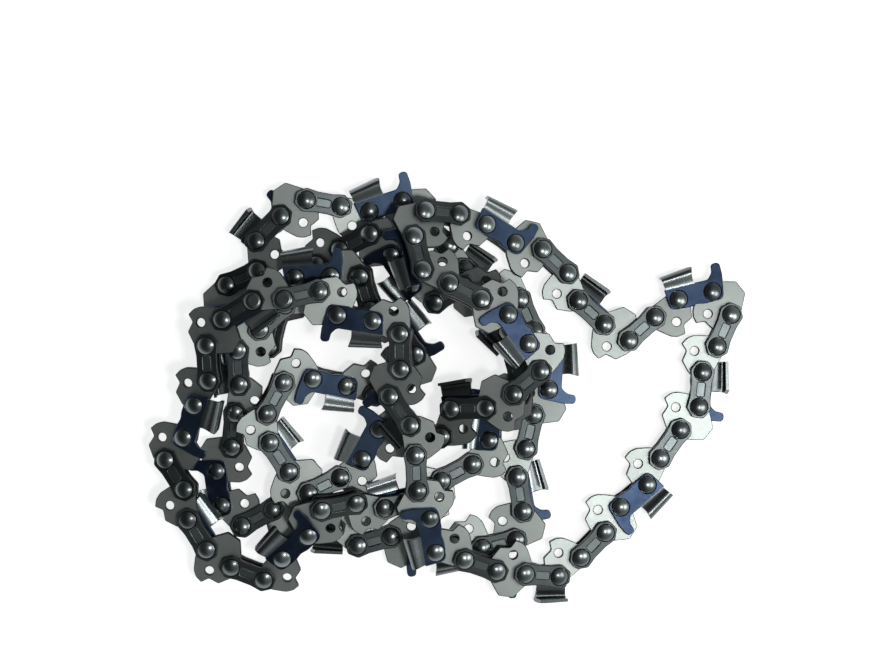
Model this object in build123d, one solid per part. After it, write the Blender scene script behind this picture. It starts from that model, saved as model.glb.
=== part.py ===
"""A loose loop of saw chain, lying in a heap on its side.

Frame: +Z up, the floor at Z = 0, the origin under the middle of the heap.
Each link has a frame of its own: u along the direction of travel, v outwards
to the cutting side, w up along the rivets.
"""
from build123d import *
import math
import os

import numpy as np
from scipy.optimize import linprog
from scipy.sparse import coo_array, csr_array, hstack
from scipy.spatial import cKDTree

# Chain, mm
PITCH = 9.525                # half the distance over three rivets
STRAP_SPAN = 10.3            # rivet to rivet in a side plate
DRIVE_SPAN = 2 * PITCH - STRAP_SPAN
DRIVE_THICKNESS = 1.5
STRAP_THICKNESS = 1.3
SIDE_GAP = 0.4               # drive link to side plate, room to tilt at a rivet

# Rivets and their holes, drawn with few flats because there are 144 of them
RIVET_RADIUS = 1.3
RIVET_PLAY = 0.25
RIVET_FLATS = 4
RIVET_HEAD = 0.7             # height kept free over a side plate for the peened head
HEAD_RADIUS = 2.3

# Tie strap
LOBE_RADIUS = 3.7
LOBE_ANGLES = (26, 78)       # corners of a lobe, degrees off the strap's line

# Drive link, from its rivet line
DRIVE_SHOULDER = 2.9
DRIVE_END = 3.1              # past a rivet
TANG_DEPTH = 9.5             # the hook's point
HOOK_LENGTH = 3.2            # flat run up to the hook's point
HOOK_RISE = 1.0
HOOK_NOTCH = 2.3             # the notch in front of the point
NOTCH_LENGTH = 1.2
TANG_FRONT = 6.9             # front corner of the tang
BUMPER_HEIGHT = 7.6
BUMPER_LENGTH = 4.4

# Cutter, from its rivet line
CUTTER_FOOT = 2.8
CUTTER_HEIGHT = 8.7          # cutting edge over the rivet line
GAUGE_DROP = 0.6             # depth gauge below the cutting edge
GAUGE_LENGTH = 1.7
GAUGE_REACH = 3.7            # depth gauge past the front rivet
GAUGE_FOOT = 3.9             # its widest place past the front rivet
GAUGE_NECK = 0.8             # that place over the gullet's floor
GULLET_FLOOR = 3.7
GULLET_RAMP = 1.9            # from the gullet's floor forward to the depth gauge
TOP_PLATE_FRONT = 0.5        # cutting edge ahead of the cutter's middle
TOP_PLATE_LENGTH = 9.6
TOP_PLATE_THICKNESS = 1.3
TOP_PLATE_FALL = 1.2         # the top plate sinks this much to its heel
TOP_PLATE_SET = 0.8          # the cutting corner stands out past the side plate
TOP_PLATE_INNER = 0.8        # the top plate reaches this far past the chain's middle

# The heap, as pixel places in an 877 x 666 picture looking straight down
PAIR_PIXELS = 65.0           # three rivets span this many pixels
CENTRE_X = 444.8
CENTRE_Y = 386.5
CLEARANCE = 0.3              # between links that cross
CUTTER_BEND = 27.0           # most that a joint of a cutter bends towards the cutting side, degrees
PLAIN_BEND = 75.0            # most that any other joint bends, degrees
STRAP_BEND = 88.0            # most that the two joints of one side plate bend together, degrees
DRIVE_BEND = 84.0            # most that the joints of a drive link bend to the cutting side, degrees
BEND_SHARE = 0.3             # share of an excess bend taken out in one step
FACE_PLAY = 0.1              # kept free between a drive link and a side plate
TILT_LIMIT = 6.0             # most that one link tilts against the next along X or Y, degrees
SLOPE_LIMIT = 16.0           # most that a link slopes along X or Y, degrees
NEIGHBOURS = 3               # links this near along the chain lie in one plane
PULL_STEPS = 3000
SETTLE_ROUNDS = 3
SAMPLE = 0.8                 # spacing of the points that feel for contact
GIVE_COST = 1000             # a crossing gives up its clearance only where nothing else can

# One row for each pair of side plates in travel order: its first rivet, its second rivet, and
# its rank. Where two links cross, the one of higher rank lies on top.
ROUTE = (
    (482, 224, 509, 243, 2), (540, 249, 566, 271, 3), (577, 300, 602, 323, 3), (627, 340, 651, 313, 3),
    (674, 296, 711, 288, 3), (729, 314, 716, 346, 3), (700, 374, 696, 408, 3), (678, 431, 658, 460, 3),
    (644, 484, 619, 509, 3), (602, 532, 578, 557, 3), (554, 574, 520, 573, 3), (491, 568, 460, 557, 3),
    (435, 546, 424, 513, 3), (415, 487, 409, 451, 3), (405, 421, 388, 394, 3), (401, 368, 394, 334, 3),
    (367, 326, 336, 312, 3), (313, 296, 281, 300, 3), (252, 302, 227, 322, 3), (211, 346, 204, 379, 3),
    (194, 404, 182, 434, 3), (168, 459, 182, 489, 3), (189, 516, 206, 543, 3), (228, 559, 258, 572, 3),
    (278, 553, 303, 531, 2.5), (320, 513, 352, 503, 2.5), (379, 504, 411, 496, 2.2), (436, 481, 465, 462, 1.5),
    (485, 441, 489, 407, 1), (519, 391, 512, 356, 1), (497, 331, 480, 300, 1), (458, 281, 433, 297, 1),
    (409, 283, 390, 252, 1), (364, 242, 338, 254, 1), (309, 271, 282, 287, 1), (266, 308, 270, 340, 1),
    (245, 340, 221, 313, 1), (229, 282, 255, 264, 1), (257, 239, 280, 215, 1), (304, 204, 336, 204, 0.5),
    (362, 207, 396, 206, 0.5), (420, 222, 445, 246, 0.5), (462, 264, 486, 285, 0.5), (510, 300, 531, 330, 0.5),
    (543, 358, 541, 390, 0.5), (533, 415, 524, 449, 0.5), (515, 476, 517, 511, 1), (505, 534, 478, 545, 1),
    (450, 547, 417, 547, 1), (385, 541, 352, 541, 1), (326, 530, 296, 522, 1), (270, 516, 240, 522, 1),
    (218, 502, 215, 470, 1), (224, 443, 230, 411, 1), (234, 384, 240, 350, 1.5), (257, 327, 279, 302, 2),
    (295, 284, 325, 276, 2), (352, 279, 367, 304, 2), (391, 322, 411, 349, 2), (399, 381, 365, 392, 2),
    (341, 387, 308, 381, 2), (281, 382, 272, 412, 2), (280, 440, 297, 467, 2), (311, 487, 340, 474, 2),
    (343, 448, 372, 437, 2), (400, 435, 431, 428, 2), (447, 405, 477, 393, 2), (506, 393, 531, 373, 2),
    (522, 346, 497, 320, 2), (471, 306, 447, 284, 2), (421, 272, 409, 240, 2), (423, 214, 455, 214, 2),
)

# Sizes that follow
HALF_STRAP = STRAP_SPAN / 2
HALF_DRIVE = DRIVE_SPAN / 2
INNER_FACE = DRIVE_THICKNESS / 2 + SIDE_GAP
OUTER_FACE = INNER_FACE + STRAP_THICKNESS
CUTTER_FACE = OUTER_FACE + TOP_PLATE_SET
HEAD_FACE = OUTER_FACE + RIVET_HEAD
GAUGE_TIP = HALF_STRAP + GAUGE_REACH
TOP_PLATE_HEEL = TOP_PLATE_FRONT - TOP_PLATE_LENGTH
PLATES = len(ROUTE)
LINKS = 2 * PLATES           # side plates and drive links, in turn


def strap_outline():
    """Two faceted lobes, one about each rivet."""
    corners = []
    for side, centre in ((1, HALF_STRAP), (-1, -HALF_STRAP)):
        for angle in (-LOBE_ANGLES[1], -LOBE_ANGLES[0], LOBE_ANGLES[0], LOBE_ANGLES[1]):
            turn = math.radians(angle)
            corners.append((centre + side * LOBE_RADIUS * math.cos(turn), side * LOBE_RADIUS * math.sin(turn)))
    return corners


def drive_outline(bumper):
    """Shoulders round the rivets, and a hooked tang that scoops oil along the bar."""
    hook = -TANG_DEPTH
    corners = [
        (-HALF_DRIVE - DRIVE_END / 2, DRIVE_SHOULDER),
        (-HALF_DRIVE - DRIVE_END, 0),
        (-HOOK_LENGTH, hook + HOOK_RISE),
        (0, hook),
        (NOTCH_LENGTH, hook + HOOK_NOTCH),
        (HALF_DRIVE, -TANG_FRONT),
        (HALF_DRIVE + DRIVE_END - HOOK_RISE, -TANG_FRONT / 2),
        (HALF_DRIVE + DRIVE_END, 0),
        (HALF_DRIVE + DRIVE_END / 2, DRIVE_SHOULDER),
    ]
    if bumper:
        corners += [(BUMPER_LENGTH / 2, BUMPER_HEIGHT), (-BUMPER_LENGTH / 2, BUMPER_HEIGHT)]
    return corners


def cutter_outline():
    """Foot, depth gauge in front, gullet, and the riser under the top plate."""
    return [
        (-HALF_STRAP - CUTTER_FOOT, -CUTTER_FOOT),
        (HALF_STRAP + CUTTER_FOOT, -CUTTER_FOOT),
        (HALF_STRAP + GAUGE_FOOT, GULLET_FLOOR + GAUGE_NECK),
        (GAUGE_TIP, CUTTER_HEIGHT - GAUGE_DROP),
        (GAUGE_TIP - GAUGE_LENGTH, CUTTER_HEIGHT - GAUGE_DROP),
        (GAUGE_TIP - GAUGE_LENGTH - GULLET_RAMP, GULLET_FLOOR),
        (TOP_PLATE_FRONT, GULLET_FLOOR),
        (TOP_PLATE_FRONT, CUTTER_HEIGHT),
        (TOP_PLATE_HEEL, CUTTER_HEIGHT - TOP_PLATE_FALL),
    ]


def top_plate_outline():
    """The chisel plate, seen from the side, sinking towards its heel."""
    return [
        (TOP_PLATE_FRONT, CUTTER_HEIGHT),
        (TOP_PLATE_HEEL, CUTTER_HEIGHT - TOP_PLATE_FALL),
        (TOP_PLATE_HEEL, CUTTER_HEIGHT - TOP_PLATE_FALL - TOP_PLATE_THICKNESS),
        (TOP_PLATE_FRONT, CUTTER_HEIGHT - TOP_PLATE_THICKNESS),
    ]


def plate(outline, low, high):
    """A flat plate of this outline between two heights along w."""
    face = make_face(Polyline(*outline, close=True))
    return Pos(0, 0, low) * extrude(face, high - low, dir=(0, 0, 1))


def rivet_column(centre, radius, half):
    """A prism about a rivet's axis."""
    column = extrude(RegularPolygon(radius, RIVET_FLATS), half, dir=(0, 0, 1), both=True)
    return Pos(centre, 0, 0) * column


def drive_link(bumper):
    half = DRIVE_THICKNESS / 2
    body = plate(drive_outline(bumper), -half, half)
    hole_radius = (RIVET_RADIUS + RIVET_PLAY) / math.cos(math.pi / RIVET_FLATS)
    for centre in (-HALF_DRIVE, HALF_DRIVE):
        body -= rivet_column(centre, hole_radius, DRIVE_THICKNESS)
    return body


def tie_strap(side):
    """A plain side plate: side 1 is the upper one, side -1 the lower one."""
    low, high = sorted((side * INNER_FACE, side * OUTER_FACE))
    return plate(strap_outline(), low, high)


def cutter(side):
    """A side plate with a depth gauge, its top plate bent over the drive links."""
    low, high = sorted((side * INNER_FACE, side * OUTER_FACE))
    low_top, high_top = sorted((-side * TOP_PLATE_INNER, side * CUTTER_FACE))
    return plate(cutter_outline(), low, high) + plate(top_plate_outline(), low_top, high_top)


def rivet(centre):
    """The hub between the side plates, which the drive link turns on."""
    return rivet_column(centre, RIVET_RADIUS, INNER_FACE)


def has_cutter(row):
    return row % 2 == 0


def cutter_side(row):
    """Cutters stand on the upper and the lower side in turn."""
    return 1 if row % 4 == 0 else -1


def route_points():
    """The rivets' places in the plan, scaled to the chain."""
    scale = 2 * PITCH / PAIR_PIXELS
    points = []
    for x1, y1, x2, y2, _ in ROUTE:
        points.append(((x1 - CENTRE_X) * scale, (CENTRE_Y - y1) * scale, 0))
        points.append(((x2 - CENTRE_X) * scale, (CENTRE_Y - y2) * scale, 0))
    return np.array(points)


def turns(points):
    """How far the chain turns at each rivet in the plan, positive towards the cutting side."""
    run = np.roll(points, -1, 0) - points
    heading = np.arctan2(run[:, 1], run[:, 0])
    return (heading - np.roll(heading, 1) + math.pi) % (2 * math.pi) - math.pi


def excess_bend(points):
    """How far each joint is bent past its limit."""
    bend = turns(points)
    rivets = np.arange(LINKS)
    at_cutter = has_cutter((rivets - rivets % 2) // 2)
    outward = np.radians(np.where(at_cutter, CUTTER_BEND, PLAIN_BEND))
    inward = math.radians(PLAIN_BEND)
    single = np.maximum(bend - outward, 0) + np.minimum(bend + inward, 0)
    both = bend[0::2] + bend[1::2]
    limit = math.radians(STRAP_BEND)
    strap = np.repeat(np.maximum(both - limit, 0) + np.minimum(both + limit, 0), 2) / 2
    both = bend + np.roll(bend, -1)
    drive = (rivets % 2) * np.maximum(both - math.radians(DRIVE_BEND), 0) / 2
    shares = np.stack([single, strap, drive + np.roll(drive, 1)])
    return shares[np.abs(shares).argmax(0), rivets]


def ease_bends(points):
    """Shift rivets across the chain where a joint is bent too far."""
    before, after = np.roll(points, 1, 0), np.roll(points, -1, 0)
    chord = (after - before)[:, :2]
    across = np.stack([-chord[:, 1], chord[:, 0]], 1) / np.hypot(chord[:, 0], chord[:, 1])[:, None]
    reach = STRAP_SPAN * DRIVE_SPAN / (STRAP_SPAN + DRIVE_SPAN)
    shift = across * (BEND_SHARE * reach * excess_bend(points))[:, None]
    points[:, :2] += shift / 2 - (np.roll(shift, 1, 0) + np.roll(shift, -1, 0)) / 4


def pull_taut(points):
    """Shift the rivets in the plan until each link has its true span and no joint is bent too far."""
    points = points.copy()
    for _ in range(PULL_STEPS):
        ease_bends(points)
        for first, span in ((0, STRAP_SPAN), (1, DRIVE_SPAN)):
            start = np.arange(first, LINKS, 2)
            end = (start + 1) % LINKS
            run = points[end] - points[start]
            flat = np.hypot(run[:, 0], run[:, 1])
            wanted = np.sqrt(span ** 2 - run[:, 2] ** 2)
            shift = run[:, :2] * ((flat - wanted) / flat / 2)[:, None]
            points[start, :2] += shift
            points[end, :2] -= shift
    return points


def inside(outline, grid):
    """Which points of a grid lie in a closed outline."""
    hit = np.zeros(len(grid), bool)
    for (x1, y1), (x2, y2) in zip(outline, outline[1:] + outline[:1]):
        crosses = (y1 > grid[:, 1]) != (y2 > grid[:, 1])
        rise = (y2 - y1) if y2 != y1 else 1
        hit ^= crosses & (grid[:, 0] < x1 + (grid[:, 1] - y1) * (x2 - x1) / rise)
    return hit


def layers(link):
    """The plates of a link as outline, lowest w and highest w."""
    if link % 2:
        return [(drive_outline(has_cutter(link // 2)), -DRIVE_THICKNESS / 2, DRIVE_THICKNESS / 2)]
    found = [(strap_outline(), -OUTER_FACE, OUTER_FACE)]
    for centre in (-HALF_STRAP, HALF_STRAP):
        low_u, high_u = centre - HEAD_RADIUS, centre + HEAD_RADIUS
        head = [(low_u, -HEAD_RADIUS), (high_u, -HEAD_RADIUS), (high_u, HEAD_RADIUS), (low_u, HEAD_RADIUS)]
        found.append((head, -HEAD_FACE, HEAD_FACE))
    if has_cutter(link // 2):
        side = cutter_side(link // 2)
        found.append((cutter_outline(), *sorted((side * INNER_FACE, side * OUTER_FACE))))
        found.append((top_plate_outline(), *sorted((-side * TOP_PLATE_INNER, side * CUTTER_FACE))))
    return found


def feelers(link):
    """Points all over a link as u, v, lowest w and highest w."""
    reach = max(HALF_STRAP + GAUGE_FOOT, HALF_STRAP + LOBE_RADIUS, -TOP_PLATE_HEEL, TANG_DEPTH) + SAMPLE
    steps = np.arange(-reach, reach, SAMPLE)
    grid = np.array([(u, v) for u in steps for v in steps])
    rows = []
    for outline, low, high in layers(link):
        spots = np.concatenate([grid[inside(outline, grid)], outline])
        rows += [(u, v, low, high) for u, v in spots]
    return np.array(rows)


def link_axes(points, rolls, link):
    """Middle of a link and its u, v and w directions."""
    start, end = points[link], points[(link + 1) % LINKS]
    u = (end - start) / np.linalg.norm(end - start)
    level = np.cross((0, 0, 1), u)
    level /= np.linalg.norm(level)
    w = np.cross(u, level) - rolls[link] * level
    w /= np.linalg.norm(w)
    return (start + end) / 2, u, np.cross(w, u), w


def height_row(link, u, v):
    """Weights of the heights and rolls that set the height of one point of a link."""
    share = 0.5 + u / (STRAP_SPAN if link % 2 == 0 else DRIVE_SPAN)
    row = np.zeros(2 * LINKS)
    row[link] = 1 - share
    row[(link + 1) % LINKS] = share
    row[LINKS + link] = v
    return row


def crossings(points, rolls):
    """Pairs of points where one link lies over another: the upper point, the lower one, the gap."""
    owner, place, spots = [], [], []
    for link in range(LINKS):
        middle, u, v, _ = link_axes(points, rolls, link)
        found = feelers(link)
        owner += [link] * len(found)
        place += list((middle + found[:, :1] * u + found[:, 1:2] * v)[:, :2])
        spots += list(found)
    pairs = {}
    for a, b in cKDTree(np.array(place)).query_pairs(SAMPLE):
        apart = (owner[a] - owner[b]) % LINKS
        if min(apart, LINKS - apart) <= NEIGHBOURS:
            continue
        rank_a, rank_b = ROUTE[owner[a] // 2][4], ROUTE[owner[b] // 2][4]
        upper, lower = (a, b) if (rank_a, owner[a]) > (rank_b, owner[b]) else (b, a)
        gap = spots[lower][3] - spots[upper][2] + CLEARANCE
        cell = tuple(np.round(np.concatenate([spots[upper][:2], spots[lower][:2]]) / (2 * SAMPLE)).astype(int))
        key = (owner[upper], owner[lower], cell)
        if key not in pairs or pairs[key][2] < gap:
            pairs[key] = (spots[upper], spots[lower], gap)
    return [(upper, lower, *pair) for (upper, lower, _), pair in pairs.items()]


def outlying(local):
    """Which points of a set lie farthest out, in sixteen directions."""
    around = np.arange(16) * math.pi / 8
    return sorted(set(np.argmax(local @ np.array([np.cos(around), np.sin(around)]), axis=0)))


def side_plates(link):
    """The outline of each side plate of a pair, with its side."""
    found = [(strap_outline(), 1), (strap_outline(), -1)]
    if has_cutter(link // 2):
        side = cutter_side(link // 2)
        found = [(cutter_outline(), side), (strap_outline(), -side)]
    return found


def facings(points, rolls):
    """Pairs of points where a drive link faces a side plate: the upper point, the lower one, the gap."""
    found = []
    gap = FACE_PLAY - SIDE_GAP
    for drive in range(1, LINKS, 2):
        middle, u, v, _ = link_axes(points, rolls, drive)
        spots = feelers(drive)[:, :2]
        place = (middle + spots[:, :1] * u + spots[:, 1:] * v)[:, :2]
        for pair in (drive - 1, (drive + 1) % LINKS):
            centre, pair_u, pair_v, _ = link_axes(points, rolls, pair)
            local = np.linalg.solve(np.array([pair_u[:2], pair_v[:2]]).T, (place - centre[:2]).T).T
            for outline, side in side_plates(pair):
                hit = inside(outline, local * (1 - FACE_PLAY))
                for k in outlying(local[hit]):
                    ends = (pair, local[hit][k]), (drive, spots[hit][k])
                    (upper, spot_up), (lower, spot_low) = ends if side == 1 else ends[::-1]
                    found.append((upper, lower, spot_up, spot_low, gap))
    return found


def plane_rows(points, link):
    """Weights of the heights and rolls that set a link's slope along X and along Y."""
    start, end = points[link], points[(link + 1) % LINKS]
    along = (end - start)[:2] / np.linalg.norm((end - start)[:2])
    slope = (height_row(link, 1, 0) - height_row(link, 0, 0))
    roll = height_row(link, 0, 1) - height_row(link, 0, 0)
    return slope * along[0] - roll * along[1], slope * along[1] + roll * along[0]


def settle(points, rolls):
    """Lowest heights at which no link cuts another or the floor, with no joint tilted past its limit."""
    matrix, limits = [], []
    crossed = crossings(points, rolls)
    for upper, lower, spot_up, spot_low, gap in crossed + facings(points, rolls):
        matrix.append(height_row(lower, *spot_low[:2]) - height_row(upper, *spot_up[:2]))
        limits.append(-gap)
    for link in range(LINKS):
        for outline, low, _ in layers(link):
            for u, v in outline:
                matrix.append(-height_row(link, u, v))
                limits.append(low)
    tilt = math.tan(math.radians(TILT_LIMIT))
    slope = math.tan(math.radians(SLOPE_LIMIT))
    for link in range(LINKS):
        for here, following in zip(plane_rows(points, link), plane_rows(points, (link + 1) % LINKS)):
            matrix += [here - following, following - here, here, -here]
            limits += [tilt, tilt, slope, slope]
    pairs = {pair: k for k, pair in enumerate(dict.fromkeys((row[0], row[1]) for row in crossed))}
    owners = [pairs[row[0], row[1]] for row in crossed]
    give = coo_array((-np.ones(len(owners)), (range(len(owners)), owners)), shape=(len(matrix), len(pairs)))
    cost = np.concatenate([np.ones(LINKS), np.zeros(LINKS), np.full(len(pairs), GIVE_COST)])
    bounds = [(None, None)] * (2 * LINKS) + [(0, None)] * len(pairs)
    table = hstack([csr_array(np.array(matrix)), give]).tocsr()
    answer = linprog(cost, A_ub=table, b_ub=np.array(limits), bounds=bounds)
    points = points.copy()
    points[:, 2] = answer.x[:LINKS]
    return points, answer.x[LINKS:2 * LINKS]


def lay_loop():
    """Each rivet's place in the heap, and each link's roll about its own line."""
    points = pull_taut(route_points())
    rolls = np.zeros(LINKS)
    for _ in range(SETTLE_ROUNDS):
        points, rolls = settle(points, rolls)
        points = pull_taut(points)
    return points, rolls


def link_place(points, rolls, link):
    middle, u, _, w = link_axes(points, rolls, link)
    return Location(Plane(origin=tuple(middle), x_dir=tuple(u), z_dir=tuple(w)))


def build():
    """Every solid in its place, by node name."""
    points, rolls = lay_loop()
    drives = {bumper: drive_link(bumper) for bumper in (True, False)}
    straps = {side: tie_strap(side) for side in (1, -1)}
    cutters = {side: cutter(side) for side in (1, -1)}
    nodes = {}
    stretches = 4
    for row in range(PLATES):
        stretch = 1 + row * stretches // PLATES
        place = link_place(points, rolls, 2 * row)
        upper = f"upper_straps_{stretch}"
        lower = f"lower_straps_{stretch}"
        sides = {1: (upper, straps[1]), -1: (lower, straps[-1])}
        if has_cutter(row):
            side = cutter_side(row)
            hand = "upper" if side == 1 else "lower"
            sides[side] = (f"{hand}_cutter_{row // 4 + 1:02d}", cutters[side])
        for name, solid in sides.values():
            nodes.setdefault(name, []).append(place * solid)
        for centre in (-HALF_STRAP, HALF_STRAP):
            nodes.setdefault(f"rivets_{stretch}", []).append(place * rivet(centre))
        kind = "bumper_drive_links" if has_cutter(row) else "plain_drive_links"
        link = link_place(points, rolls, 2 * row + 1) * drives[has_cutter(row)]
        nodes.setdefault(f"{kind}_{stretch}", []).append(link)
    return nodes


def main():
    os.makedirs("parts", exist_ok=True)
    for name, solids in build().items():
        shape = solids[0] if len(solids) == 1 else Compound(children=solids)
        export_step(shape, f"parts/{name}.step")


if __name__ == "__main__":
    main()
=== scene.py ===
"""A loose heap of saw chain on a pale floor, seen from straight above.

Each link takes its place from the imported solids: the rivets give the line of every link, and the
plates give its tilt. Link shapes are drawn in millimetres in a link's own frame: u along the
direction of travel, v outwards to the cutting side, w up along the rivets.
"""

import math

import bmesh
import bpy
import numpy as np
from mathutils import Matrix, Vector


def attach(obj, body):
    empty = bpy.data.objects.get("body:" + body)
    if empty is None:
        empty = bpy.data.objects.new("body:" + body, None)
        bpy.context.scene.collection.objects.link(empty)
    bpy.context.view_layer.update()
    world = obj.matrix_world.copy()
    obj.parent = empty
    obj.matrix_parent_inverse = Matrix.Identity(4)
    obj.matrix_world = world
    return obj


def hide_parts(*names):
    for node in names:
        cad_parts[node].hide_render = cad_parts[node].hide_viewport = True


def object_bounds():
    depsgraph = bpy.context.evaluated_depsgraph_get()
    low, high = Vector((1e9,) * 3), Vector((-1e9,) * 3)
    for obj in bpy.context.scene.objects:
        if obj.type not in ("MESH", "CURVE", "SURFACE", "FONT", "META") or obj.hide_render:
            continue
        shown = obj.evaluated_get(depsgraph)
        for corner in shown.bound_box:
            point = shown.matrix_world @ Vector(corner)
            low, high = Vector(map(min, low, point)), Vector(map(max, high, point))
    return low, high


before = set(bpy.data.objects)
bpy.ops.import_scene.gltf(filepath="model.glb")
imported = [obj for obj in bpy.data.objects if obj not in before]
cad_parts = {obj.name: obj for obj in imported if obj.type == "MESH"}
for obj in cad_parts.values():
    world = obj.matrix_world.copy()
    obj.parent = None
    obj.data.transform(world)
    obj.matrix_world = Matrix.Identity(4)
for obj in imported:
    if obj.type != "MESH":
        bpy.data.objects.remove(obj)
CAD_BOX = [list(corner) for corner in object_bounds()]

MM = 0.001
ROWS = 72                    # pairs of side plates in the loop
STRETCHES = 4                # nodes that share the loop between them
SEED = 7

# Chain, mm
STRAP_SPAN = 10.3
DRIVE_SPAN = 8.75
HALF_STRAP = STRAP_SPAN / 2
HALF_DRIVE = DRIVE_SPAN / 2
DRIVE_HALF = 0.75            # half a drive link's thickness
INNER_FACE = 1.15
OUTER_FACE = 2.45
EDGE = 0.22                  # rounding of stamped edges
ARC_STEP = 14                # degrees of an outline's arcs for each edge
CORNER_SHARE = 0.48          # the most of a side that one rounded corner takes
WELD = 0.004
FLAT = 0.999                 # a normal this upright belongs to a plate's face
CREASE = 50                  # degrees from which an edge is drawn sharp

# Finishes of a piece, in the order of its materials; on drive links, tie straps and rivets the edge slot
# holds dark steel as painted shade
EDGE_FINISH = 1
PLATE_FINISH = 2

# Holes and rivets
HOLE_SEGMENTS = 20
OIL_HOLE_RADIUS = 1.3
OIL_HOLE_DROP = 5.1
DRIVE_HOLE_RADIUS = 1.55
STRAP_HOLE_RADIUS = 2.6      # seat of a rivet's head
SHAFT_RADIUS = 1.3
HEAD_RADIUS = 2.45
HEAD_HEIGHT = 0.7
HEAD_RIM = 0.06
HEAD_SEGMENTS = 28
HEAD_RINGS = 8

# Pocket pressed into the outside of a tie strap
POCKET_LENGTH = 4.2
POCKET_WIDTH = 2.3
POCKET_DEPTH = 0.2
POCKET_CORNER = 0.5
POCKET_LAP = 0.1             # the pocket's floor runs this far into the strap

# Top plate of a cutter
PLATE_FOOT = 3.2             # where it leaves the body
PLATE_TOP = 8.7
PLATE_OVERHANG = 0.8         # past the middle of the drive links
PLATE_FRONT = 0.5
PLATE_HEEL = -9.1
HEEL_STEP = 0.9              # the foot is this much shorter at the heel
PLATE_FALL = 1.2             # the plate drops to its heel
PLATE_TAPER = 0.25           # and leans in by this much
PLATE_SHEET = 1.05
PLATE_STATIONS = 9
FILED_BACK = 1.5             # the filed edge runs back this far to the inner corner
FILED_HOLLOW = 0.55          # round hollow that the file leaves
FILED_LEAN = 0.3

# Steel: each link's own tone, cloudy patches and grinding lines
TONE_RANGE = (-0.12, 0.22)
PATCH_SCALE, PATCH_DETAIL, PATCH_BREAK = 130, 5, 0.62
PATCH_SHARE = 0.55
LINE_DETAIL, LINE_BREAK = 8, 0.75
LINE_LOW, LINE_HIGH = 0.3, 0.7
DARK_END, LIGHT_END = 0.12, 0.75
ROUGH_LOW, ROUGH_HIGH = 0.86, 1.16
GRIND_DEPTH = 0.00004


def rounded(corners):
    """A closed outline with each corner (u, v, radius) turned into an arc."""
    outline = []
    count = len(corners)
    for k, (u, v, radius) in enumerate(corners):
        here = np.array((u, v), float)
        before = np.array(corners[k - 1][:2], float) - here
        after = np.array(corners[(k + 1) % count][:2], float) - here
        room = min(np.linalg.norm(before), np.linalg.norm(after)) * CORNER_SHARE
        before /= np.linalg.norm(before)
        after /= np.linalg.norm(after)
        half = math.acos(np.clip(before @ after, -1, 1)) / 2
        reach = min(radius / math.tan(half), room)
        radius = reach * math.tan(half)
        middle = (before + after) / np.linalg.norm(before + after)
        centre = here + middle * radius / math.sin(half)
        first = here + before * reach - centre
        last = here + after * reach - centre
        start = math.atan2(first[1], first[0])
        turn = (math.atan2(last[1], last[0]) - start + math.pi) % (2 * math.pi) - math.pi
        pieces = max(1, round(abs(math.degrees(turn)) / ARC_STEP))
        for j in range(pieces + 1):
            angle = start + turn * j / pieces
            outline.append((centre[0] + radius * math.cos(angle), centre[1] + radius * math.sin(angle)))
    return outline


def ring(u, v, radius):
    """A round hole's outline."""
    angles = [-2 * math.pi * k / HOLE_SEGMENTS for k in range(HOLE_SEGMENTS)]
    return [(u + radius * math.cos(a), v + radius * math.sin(a)) for a in angles]


def hole_pair(half, radius):
    """The outlines of a link's two rivet holes."""
    return [ring(-half, 0, radius), ring(half, 0, radius)]


def oblong(half_length, half_width):
    """The outline of a strap's pocket."""
    ends = [(-1, -1), (1, -1), (1, 1), (-1, 1)]
    return rounded([(half_length * a, half_width * b, POCKET_CORNER) for a, b in ends])


class Template:
    """A mesh kept as plain arrays, to be set down many times."""

    def __init__(self, mesh):
        self.points = np.empty(len(mesh.vertices) * 3)
        mesh.vertices.foreach_get("co", self.points)
        self.points = self.points.reshape(-1, 3)
        self.corners = np.empty(len(mesh.loops), np.int32)
        mesh.loops.foreach_get("vertex_index", self.corners)
        self.sides = np.empty(len(mesh.polygons), np.int32)
        mesh.polygons.foreach_get("loop_total", self.sides)
        self.finish = np.empty(len(mesh.polygons), np.int32)
        mesh.polygons.foreach_get("material_index", self.finish)
        self.smooth = np.empty(len(mesh.polygons), bool)
        mesh.polygons.foreach_get("use_smooth", self.smooth)
        bpy.data.meshes.remove(mesh)


def clean(mesh):
    """Weld the seams of a mesh and turn its faces outwards."""
    work = bmesh.new()
    work.from_mesh(mesh)
    bmesh.ops.remove_doubles(work, verts=work.verts, dist=WELD)
    bmesh.ops.recalc_face_normals(work, faces=work.faces)
    work.to_mesh(mesh)
    work.free()


def plate(outlines, low, high):
    """A stamped plate with rounded edges: the first outline is its rim, the others are holes."""
    curve = bpy.data.curves.new("plate", "CURVE")
    curve.dimensions = "2D"
    curve.fill_mode = "BOTH"
    curve.extrude = (high - low) / 2 - EDGE
    curve.bevel_depth = EDGE
    curve.bevel_resolution = 1
    curve.offset = -EDGE
    for outline in outlines:
        spline = curve.splines.new("POLY")
        spline.points.add(len(outline) - 1)
        for point, (u, v) in zip(spline.points, outline):
            point.co = (u, v, 0, 1)
        spline.use_cyclic_u = True
    holder = bpy.data.objects.new("plate", curve)
    bpy.context.scene.collection.objects.link(holder)
    graph = bpy.context.evaluated_depsgraph_get()
    mesh = bpy.data.meshes.new_from_object(holder.evaluated_get(graph))
    bpy.data.objects.remove(holder)
    bpy.data.curves.remove(curve)
    for vertex in mesh.vertices:
        vertex.co.z += (low + high) / 2
    clean(mesh)
    for face in mesh.polygons:
        face.use_smooth = abs(face.normal.z) < FLAT
        # Rounded edges and walls take the edge slot: painted shade on drive links and tie straps, blued
        # steel on cutters
        face.material_index = EDGE_FINISH if face.use_smooth else 0
    return mesh


def joined(meshes):
    """Several meshes as one, each with its own finishes."""
    work = bmesh.new()
    for mesh in meshes:
        work.from_mesh(mesh)
        bpy.data.meshes.remove(mesh)
    result = bpy.data.meshes.new("joined")
    work.to_mesh(result)
    work.free()
    return result


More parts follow.
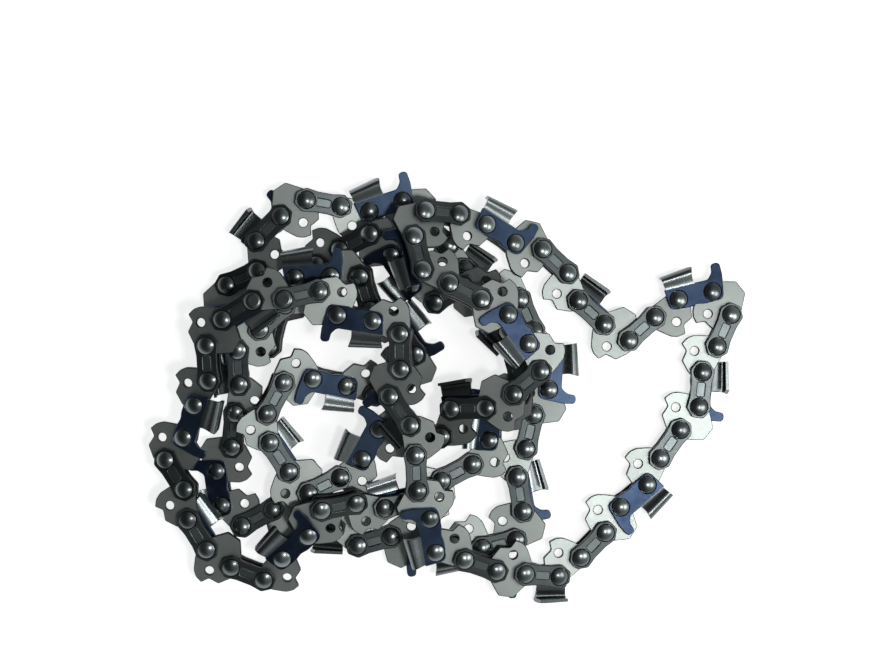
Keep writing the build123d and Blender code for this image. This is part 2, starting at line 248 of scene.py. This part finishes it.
def loft(stations):
    """A closed skin over sections that have as many points each."""
    work = bmesh.new()
    rows = [[work.verts.new(point) for point in section] for section in stations]
    count = len(rows[0])
    for one, two in zip(rows, rows[1:]):
        for k in range(count):
            work.faces.new((one[k], one[(k + 1) % count], two[(k + 1) % count], two[k]))
    work.faces.new(rows[0])
    work.faces.new(rows[-1])
    bmesh.ops.recalc_face_normals(work, faces=work.faces)
    mesh = bpy.data.meshes.new("loft")
    work.to_mesh(mesh)
    work.free()
    for face in mesh.polygons:
        face.use_smooth = len(face.vertices) == 4
        face.material_index = PLATE_FINISH
    return mesh


def turned(profile, segments):
    """A closed solid of revolution about w, from the top of the axis to its foot."""
    work = bmesh.new()
    rings = []
    for radius, w in profile:
        if radius == 0:
            rings.append([work.verts.new((0, 0, w))] * segments)
            continue
        turn = [2 * math.pi * k / segments for k in range(segments)]
        rings.append([work.verts.new((radius * math.cos(a), radius * math.sin(a), w)) for a in turn])
    for one, two in zip(rings, rings[1:]):
        for k in range(segments):
            after = (k + 1) % segments
            corners = dict.fromkeys((one[k], two[k], two[after], one[after]))
            work.faces.new(tuple(corners))
    bmesh.ops.recalc_face_normals(work, faces=work.faces)
    mesh = bpy.data.meshes.new("turned")
    work.to_mesh(mesh)
    work.free()
    for face in mesh.polygons:
        face.use_smooth = True
        # The head's side and the shaft take the edge slot, which is painted shade below a rivet's head
        face.material_index = EDGE_FINISH if abs(face.center.z) < OUTER_FACE + HEAD_RIM else 0
    return mesh


def drive_template(bumper):
    """Pale centre link with its hooked tang and oil hole."""
    corners = [
        (-5.93, 2.9, 2.4),
        (-7.48, 0.0, 2.6),
        (-5.75, -4.3, 5.0),
        (-3.9, -7.7, 3.0),
        (-2.2, -9.0, 2.4),
        (0.0, -9.5, 0.4),
        (1.2, -7.2, 0.9),
        (4.38, -6.9, 0.8),
        (6.48, -3.45, 3.0),
        (7.48, 0.0, 2.6),
        (5.93, 2.9, 2.4),
    ]
    if bumper:
        corners += [(2.2, 7.6, 1.0), (-2.2, 7.6, 0.8)]
    holes = hole_pair(HALF_DRIVE, DRIVE_HOLE_RADIUS)
    holes.append(ring(0, -OIL_HOLE_DROP, OIL_HOLE_RADIUS))
    return Template(plate([rounded(corners)] + holes, -DRIVE_HALF, DRIVE_HALF))


def strap_template(side):
    """Side plate with a flat-cornered lobe about each rivet, a waist and a pressed pocket."""
    lobe = ((0.6, -3.6, 1.2), (3.3, -1.6, 1.1), (3.3, 1.6, 1.1), (0.6, 3.6, 1.2))
    corners = [(HALF_STRAP + u, v, r) for u, v, r in lobe]
    corners += [(2.2, 3.05, 2.0), (-2.2, 3.05, 2.0)]
    corners += [(-HALF_STRAP - u, v, r) for u, v, r in lobe[::-1]]
    corners += [(-2.2, -3.05, 2.0), (2.2, -3.05, 2.0)]
    half_length, half_width = POCKET_LENGTH / 2, POCKET_WIDTH / 2
    holes = hole_pair(HALF_STRAP, STRAP_HOLE_RADIUS)
    low, high = sorted((side * INNER_FACE, side * OUTER_FACE))
    body = plate([rounded(corners), oblong(half_length, half_width)[::-1]] + holes, low, high)
    for face in body.polygons:
        if abs(face.center.x) < half_length + EDGE and abs(face.center.y) < half_width + EDGE:
            face.material_index = 0
    low, high = sorted((side * INNER_FACE, side * (OUTER_FACE - POCKET_DEPTH)))
    panel = plate([oblong(half_length + POCKET_LAP, half_width + POCKET_LAP)], low, high)
    for face in panel.polygons:
        face.material_index = 0 if face.use_smooth else PLATE_FINISH
    return Template(joined([body, panel]))


def top_plate(side):
    """The chromed plate that leaves the body, leans out and bends over the drive links."""
    outer = [
        (PLATE_FOOT, 2.42), (3.9, 2.46), (4.6, 2.58), (5.3, 2.8), (6.0, 3.05), (6.7, 3.2), (7.3, 3.18),
        (7.85, 2.98), (8.3, 2.6), (8.58, 2.05),
        (PLATE_TOP, 1.4), (PLATE_TOP, 0.6), (PLATE_TOP, -0.1), (PLATE_TOP, -PLATE_OVERHANG),
    ]
    inner = []
    for k, (v, w) in enumerate(outer):
        one, two = outer[max(k - 1, 0)], outer[min(k + 1, len(outer) - 1)]
        run = np.array((two[0] - one[0], two[1] - one[1]))
        run /= np.linalg.norm(run)
        inner.append((v + run[1] * PLATE_SHEET, w - run[0] * PLATE_SHEET))
    section = outer + inner[::-1]
    stations = []
    for k in range(PLATE_STATIONS):
        share = k / (PLATE_STATIONS - 1)
        points = []
        for v, w in section:
            rise = max(v - PLATE_FOOT, 0) / (PLATE_TOP - PLATE_FOOT)
            across = min(max((OUTER_FACE - w) / (OUTER_FACE + PLATE_OVERHANG), 0), 1)
            hollow = FILED_HOLLOW * math.sin(math.pi * rise) - FILED_LEAN * rise
            front = PLATE_FRONT - FILED_BACK * across * rise - hollow
            heel = PLATE_HEEL + HEEL_STEP * (1 - rise)
            u = front + (heel - front) * share
            lean = PLATE_TAPER * share * rise * (w > 1)
            points.append((u, v - PLATE_FALL * share * rise, side * (w - lean)))
        stations.append(points)
    return loft(stations)


def cutter_template(side):
    """Blued body with its depth gauge, and the chromed top plate."""
    corners = [
        (-8.0, -2.8, 1.9),
        (-2.2, -3.0, 2.5),
        (0.0, -2.5, 2.5),
        (2.2, -3.0, 2.5),
        (8.0, -2.8, 1.9),
        (9.05, 4.4, 1.6),
        (8.95, 8.25, 1.2),
        (6.35, 8.0, 1.0),
        (6.05, 5.5, 1.5),
        (4.6, 3.75, 1.6),
        (0.6, 3.75, 0.5),
        (-8.75, 3.6, 0.4),
    ]
    holes = hole_pair(HALF_STRAP, STRAP_HOLE_RADIUS)
    low, high = sorted((side * INNER_FACE, side * OUTER_FACE))
    return Template(joined([plate([rounded(corners)] + holes, low, high), top_plate(side)]))


def rivet_template():
    """A shaft with a domed head in the seat of each side plate."""
    dome = []
    rise = HEAD_HEIGHT - HEAD_RIM
    ball = (HEAD_RADIUS ** 2 + rise ** 2) / (2 * rise)
    for k in range(HEAD_RINGS + 1):
        angle = math.asin(HEAD_RADIUS / ball) * k / HEAD_RINGS
        dome.append((ball * math.sin(angle), OUTER_FACE + HEAD_HEIGHT - ball * (1 - math.cos(angle))))
    half = dome + [(HEAD_RADIUS, INNER_FACE), (SHAFT_RADIUS, INNER_FACE)]
    return Template(turned(half + [(radius, -w) for radius, w in half[::-1]], HEAD_SEGMENTS))


def blocks(node, count):
    """The points of each solid in a node, in millimetres, in the node's own order."""
    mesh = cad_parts[node].data
    points = np.empty(len(mesh.vertices) * 3)
    mesh.vertices.foreach_get("co", points)
    return points.reshape(count, -1, 3) / MM


def unit(vector):
    """A vector's direction."""
    return vector / np.linalg.norm(vector)


def axes(start, end, normal):
    """A link's place as a 4 x 4 matrix from millimetres in its frame to metres."""
    u = unit(end - start)
    w = unit(normal - (normal @ u) * u)
    place = np.eye(4)
    place[:3, :3] = np.stack([u, np.cross(w, u), w], 1) * MM
    place[:3, 3] = (start + end) / 2 * MM
    return place


def upward(points):
    """The normal of a flat set of points, turned up."""
    spread = points - points.mean(0)
    normal = np.linalg.svd(spread, full_matrices=False)[2][2]
    return normal if normal[2] > 0 else -normal


def rivet_axis(points):
    """From the lower end of a rivet to its upper end."""
    level = points[:, 2] > points[:, 2].mean()
    return unit(points[level].mean(0) - points[~level].mean(0))


def has_cutter(row):
    """Whether a pair of side plates holds a cutter: every second one does."""
    return row % 2 == 0


def stretch(row):
    """The stretch of the loop that a row lies in, from 1."""
    return 1 + row * STRETCHES // ROWS


def places():
    """The matrix of each pair of side plates and of each drive link."""
    rivets = np.concatenate([blocks(f"rivets_{k}", 2 * ROWS // STRETCHES) for k in range(1, STRETCHES + 1)])
    centres = (rivets.max(1) + rivets.min(1)) / 2
    drives = {}
    for kind, parity in (("bumper", 0), ("plain", 1)):
        for k in range(1, STRETCHES + 1):
            rows = [row for row in range(ROWS) if row % 2 == parity and stretch(row) == k]
            for row, points in zip(rows, blocks(f"{kind}_drive_links_{k}", len(rows))):
                drives[row] = points
    pairs, links = [], []
    for row in range(ROWS):
        first, second = centres[2 * row], centres[2 * row + 1]
        following = centres[(2 * row + 2) % (2 * ROWS)]
        pairs.append(axes(first, second, rivet_axis(rivets[2 * row])))
        links.append(axes(second, following, upward(drives[row])))
    return pairs, links


def laid(name, copies, finishes):
    """One object made of templates set down at their places: copies are (template, matrix, tone)."""
    points, corners, sides, finish, smooth, tones = [], [], [], [], [], []
    base = 0
    for template, matrix, tone in copies:
        points.append(template.points @ matrix[:3, :3].T + matrix[:3, 3])
        corners.append(template.corners + base)
        sides.append(template.sides)
        finish.append(template.finish)
        smooth.append(template.smooth)
        tones.append(np.full(len(template.points), tone))
        base += len(template.points)
    points, corners, sides = np.concatenate(points), np.concatenate(corners), np.concatenate(sides)
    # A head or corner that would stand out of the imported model's box is cut flat there
    points = np.clip(points, CAD_BOX[0], CAD_BOX[1])
    mesh = bpy.data.meshes.new(name)
    mesh.vertices.add(len(points))
    mesh.vertices.foreach_set("co", points.ravel())
    mesh.loops.add(len(corners))
    mesh.loops.foreach_set("vertex_index", corners)
    mesh.polygons.add(len(sides))
    mesh.polygons.foreach_set("loop_start", np.concatenate([[0], np.cumsum(sides)[:-1]]).astype(np.int32))
    mesh.polygons.foreach_set("material_index", np.concatenate(finish))
    mesh.update(calc_edges=True)
    mesh.validate()
    mesh.attributes.new("tone", "FLOAT", "POINT").data.foreach_set("value", np.concatenate(tones))
    mesh.set_sharp_from_angle(angle=math.radians(CREASE))
    mesh.polygons.foreach_set("use_smooth", np.concatenate(smooth))
    for material in finishes:
        mesh.materials.append(material)
    piece = bpy.data.objects.new(name, mesh)
    bpy.context.scene.collection.objects.link(piece)
    return piece


def noise(tree, place, scale, detail, roughness):
    """A noise texture fixed to the piece."""
    texture = tree.nodes.new("ShaderNodeTexNoise")
    texture.inputs["Scale"].default_value = scale
    texture.inputs["Detail"].default_value = detail
    texture.inputs["Roughness"].default_value = roughness
    tree.links.new(place.outputs["Object"], texture.inputs["Vector"])
    return texture


def steel(name, dark, light, roughness, grain, scratch):
    """Ground steel between two colours, with grinding lines of a given grain and strength."""
    material = bpy.data.materials.new(name)
    material.use_nodes = True
    nodes, links = material.node_tree.nodes, material.node_tree.links
    shader = nodes["Principled BSDF"]
    shader.inputs["Metallic"].default_value = 1.0
    tone = nodes.new("ShaderNodeAttribute")
    tone.attribute_name = "tone"
    place = nodes.new("ShaderNodeTexCoord")
    patches = noise(material.node_tree, place, PATCH_SCALE, PATCH_DETAIL, PATCH_BREAK)
    blend = nodes.new("ShaderNodeMath")
    blend.operation = "MULTIPLY_ADD"
    blend.inputs[1].default_value = PATCH_SHARE
    links.new(patches.outputs["Fac"], blend.inputs[0])
    links.new(tone.outputs["Fac"], blend.inputs[2])
    ramp = nodes.new("ShaderNodeValToRGB")
    ramp.color_ramp.elements[0].position = DARK_END
    ramp.color_ramp.elements[0].color = (*dark, 1)
    ramp.color_ramp.elements[1].position = LIGHT_END
    ramp.color_ramp.elements[1].color = (*light, 1)
    links.new(blend.outputs[0], ramp.inputs["Fac"])
    links.new(ramp.outputs["Color"], shader.inputs["Base Color"])
    lines = noise(material.node_tree, place, grain, LINE_DETAIL, LINE_BREAK)
    rough = nodes.new("ShaderNodeMapRange")
    rough.inputs["From Min"].default_value = LINE_LOW
    rough.inputs["From Max"].default_value = LINE_HIGH
    rough.inputs["To Min"].default_value = roughness * ROUGH_LOW
    rough.inputs["To Max"].default_value = roughness * ROUGH_HIGH
    links.new(lines.outputs["Fac"], rough.inputs["Value"])
    links.new(rough.outputs["Result"], shader.inputs["Roughness"])
    bump = nodes.new("ShaderNodeBump")
    bump.inputs["Strength"].default_value = scratch
    bump.inputs["Distance"].default_value = GRIND_DEPTH
    links.new(lines.outputs["Fac"], bump.inputs["Height"])
    links.new(bump.outputs["Normal"], shader.inputs["Normal"])
    return material


def dressed():
    """Every link of the loop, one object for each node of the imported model."""
    drive_steel = steel("drive_link_steel", (0.34, 0.375, 0.36), (0.49, 0.54, 0.517), 0.41, 2600, 0.3)
    strap_steel = steel("tie_strap_steel", (0.064, 0.075, 0.076), (0.172, 0.197, 0.2), 0.33, 2200, 0.3)
    pocket_steel = steel("pocket_steel", (0.12, 0.14, 0.143), (0.265, 0.304, 0.308), 0.34, 2200, 0.3)
    blued = steel("blued_steel", (0.018, 0.028, 0.056), (0.095, 0.145, 0.235), 0.34, 2000, 0.2)
    chrome = steel("chromed_plate", (0.12, 0.134, 0.137), (0.27, 0.302, 0.308), 0.28, 1800, 0.15)
    rivet_steel = steel("rivet_steel", (0.14, 0.157, 0.159), (0.345, 0.385, 0.39), 0.25, 1800, 0.12)
    # Dark steel as painted shade on the rounded edges and walls of drive links and tie straps, and on the
    # sides and shafts of rivets below their heads
    painted_shade_edge = steel("painted_shade_edge_steel", (0.03, 0.032, 0.034), (0.08, 0.083, 0.086), 0.4, 1500, 0.4)
    blue_edge = steel("blued_edge_steel", (0.02, 0.028, 0.05), (0.10, 0.14, 0.21), 0.32, 1500, 0.3)
    pairs, links = places()
    draw = np.random.default_rng(SEED)
    drives = {bumper: drive_template(bumper) for bumper in (True, False)}
    straps = {side: strap_template(side) for side in (1, -1)}
    cutters = {side: cutter_template(side) for side in (1, -1)}
    rivet = rivet_template()
    groups = {}

    def add(node, slot, template, matrix, finishes):
        copies = groups.setdefault(node, (slot, finishes, []))[2]
        copies.append((template, matrix, draw.uniform(*TONE_RANGE)))

    for row in range(ROWS):
        part = stretch(row)
        for side, word in ((1, "upper"), (-1, "lower")):
            if has_cutter(row) and side == (1 if row % 4 == 0 else -1):
                add(f"{word}_cutter_{row // 4 + 1:02d}", "cutter", cutters[side], pairs[row],
                    [blued, blue_edge, chrome])
            else:
                add(f"{word}_straps_{part}", "tie_strap", straps[side], pairs[row],
                    [strap_steel, painted_shade_edge, pocket_steel])
        for centre in (-HALF_STRAP, HALF_STRAP):
            matrix = pairs[row].copy()
            matrix[:3, 3] += matrix[:3, 0] * centre
            add(f"rivets_{part}", "rivet", rivet, matrix, [rivet_steel, painted_shade_edge])
        kind = "bumper" if has_cutter(row) else "plain"
        finishes = [drive_steel, painted_shade_edge]
        add(f"{kind}_drive_links_{part}", "drive_link", drives[has_cutter(row)], links[row], finishes)
    for node, (slot, finishes, copies) in groups.items():
        piece = laid(f"look_{node}", copies, finishes)
        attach(piece, "root")
        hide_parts(node)


# Floor, m
FLOOR_SIZE = 4
FLOOR_DROP = 0.0002          # keeps it clear of the lowest plates
FLOOR_GLOW = 0.7             # for what the camera and mirror-like faces see


def floor():
    """A pale sheet that stays white in the picture and keeps the heap's shadow."""
    bpy.ops.mesh.primitive_plane_add(size=FLOOR_SIZE, location=(0, 0, -FLOOR_DROP))
    sheet = bpy.context.object
    sheet.name = "floor"
    material = bpy.data.materials.new("floor_paper")
    material.use_nodes = True
    nodes, links = material.node_tree.nodes, material.node_tree.links
    paper = nodes["Principled BSDF"]
    paper.inputs["Base Color"].default_value = (0.86, 0.87, 0.86, 1)
    paper.inputs["Roughness"].default_value = 0.9
    path = nodes.new("ShaderNodeLightPath")
    seen = nodes.new("ShaderNodeMath")
    seen.operation = "MAXIMUM"
    links.new(path.outputs["Is Camera Ray"], seen.inputs[0])
    links.new(path.outputs["Is Glossy Ray"], seen.inputs[1])
    glow = nodes.new("ShaderNodeMath")
    glow.operation = "MULTIPLY"
    glow.inputs[1].default_value = FLOOR_GLOW
    links.new(seen.outputs[0], glow.inputs[0])
    paper.inputs["Emission Color"].default_value = (1, 1, 1, 1)
    links.new(glow.outputs[0], paper.inputs["Emission Strength"])
    sheet.data.materials.append(material)


LAMP_COLOUR = (1, 0.995, 0.985)


def lamp(name, place, target, size, power):
    """A round lamp aimed at a point."""
    data = bpy.data.lights.new(name, "AREA")
    data.shape = "DISK"
    data.size = size
    data.energy = power
    data.color = LAMP_COLOUR
    holder = bpy.data.objects.new(name, data)
    holder.location = place
    holder.rotation_euler = (Vector(target) - Vector(place)).to_track_quat("-Z", "Y").to_euler()
    bpy.context.scene.collection.objects.link(holder)


# A small lamp that satin plates on the right mirror best, and that rivet heads show as a point
KEY_PLACE = (0.157, -0.065, 0.62)
KEY_TARGET = (0.03, -0.01, 0)
KEY_SIZE = 0.08
KEY_POWER = 0.72

# A low lamp beside the right of the heap, which shows best in the rivet heads there
SIDE_PLACE = (0.24, -0.05, 0.26)
SIDE_TARGET = (0.06, -0.01, 0)
SIDE_SIZE = 0.14
SIDE_POWER = 0.25

# Surround: dim overhead on the left, brighter on the right, white towards the horizon
OVERHEAD_LEFT, OVERHEAD_RIGHT = 0.04, 0.28
LEFT_END, RIGHT_END = -0.3, 0.4
WALL_TOP, WALL_FOOT = 0.56, 0.24


def surround():
    """Soft light: bright over the right of the heap, dim on the left."""
    world = bpy.data.worlds.new("surround")
    bpy.context.scene.world = world
    world.use_nodes = True
    nodes, links = world.node_tree.nodes, world.node_tree.links
    sky = nodes["Background"]
    place = nodes.new("ShaderNodeTexCoord")
    split = nodes.new("ShaderNodeSeparateXYZ")
    links.new(place.outputs["Generated"], split.inputs[0])
    ramp = nodes.new("ShaderNodeMapRange")
    ramp.interpolation_type = "SMOOTHSTEP"
    ramp.inputs["From Min"].default_value = LEFT_END
    ramp.inputs["From Max"].default_value = RIGHT_END
    ramp.inputs["To Min"].default_value = OVERHEAD_LEFT
    ramp.inputs["To Max"].default_value = OVERHEAD_RIGHT
    links.new(split.outputs["X"], ramp.inputs["Value"])
    walls = nodes.new("ShaderNodeMapRange")
    walls.interpolation_type = "SMOOTHSTEP"
    walls.inputs["From Min"].default_value = WALL_TOP
    walls.inputs["From Max"].default_value = WALL_FOOT
    links.new(split.outputs["Z"], walls.inputs["Value"])
    whole = nodes.new("ShaderNodeMapRange")
    links.new(walls.outputs["Result"], whole.inputs["Value"])
    links.new(ramp.outputs["Result"], whole.inputs["To Min"])
    whole.inputs["To Max"].default_value = 1.0
    sky.inputs["Color"].default_value = (0.96, 0.99, 1.0, 1)
    links.new(whole.outputs["Result"], sky.inputs["Strength"])
    lamp("key", KEY_PLACE, KEY_TARGET, KEY_SIZE, KEY_POWER)
    lamp("side", SIDE_PLACE, SIDE_TARGET, SIDE_SIZE, SIDE_POWER)


# Camera over the picture's middle, mm in the part's frame
PITCH = 9.525
PAIR_PIXELS = 65             # three rivets in the picture span this
PICTURE_WIDTH, PICTURE_HEIGHT = 877, 666
ORIGIN_X, ORIGIN_Y = 448.8, 387.5    # the part's origin in the picture
PIXEL = 2 * PITCH / PAIR_PIXELS      # mm on the heap for one pixel
VIEW_WIDTH = PICTURE_WIDTH * PIXEL
VIEW_X = (PICTURE_WIDTH / 2 - ORIGIN_X) * PIXEL
VIEW_Y = (ORIGIN_Y - PICTURE_HEIGHT / 2) * PIXEL
VIEW_LEVEL = 10.0            # height at which that scale holds
VIEW_DISTANCE = 500.0
SENSOR = 36.0


def camera():
    """The picture's own view, straight down."""
    data = bpy.data.cameras.new("camera")
    data.sensor_width = SENSOR
    data.lens = SENSOR * VIEW_DISTANCE / VIEW_WIDTH
    data.clip_start = 0.01
    holder = bpy.data.objects.new("camera", data)
    holder.location = (VIEW_X * MM, VIEW_Y * MM, (VIEW_LEVEL + VIEW_DISTANCE) * MM)
    bpy.context.scene.collection.objects.link(holder)
    bpy.context.scene.camera = holder


dressed()
floor()
surround()
camera()
bpy.context.scene.view_settings.view_transform = "Standard"
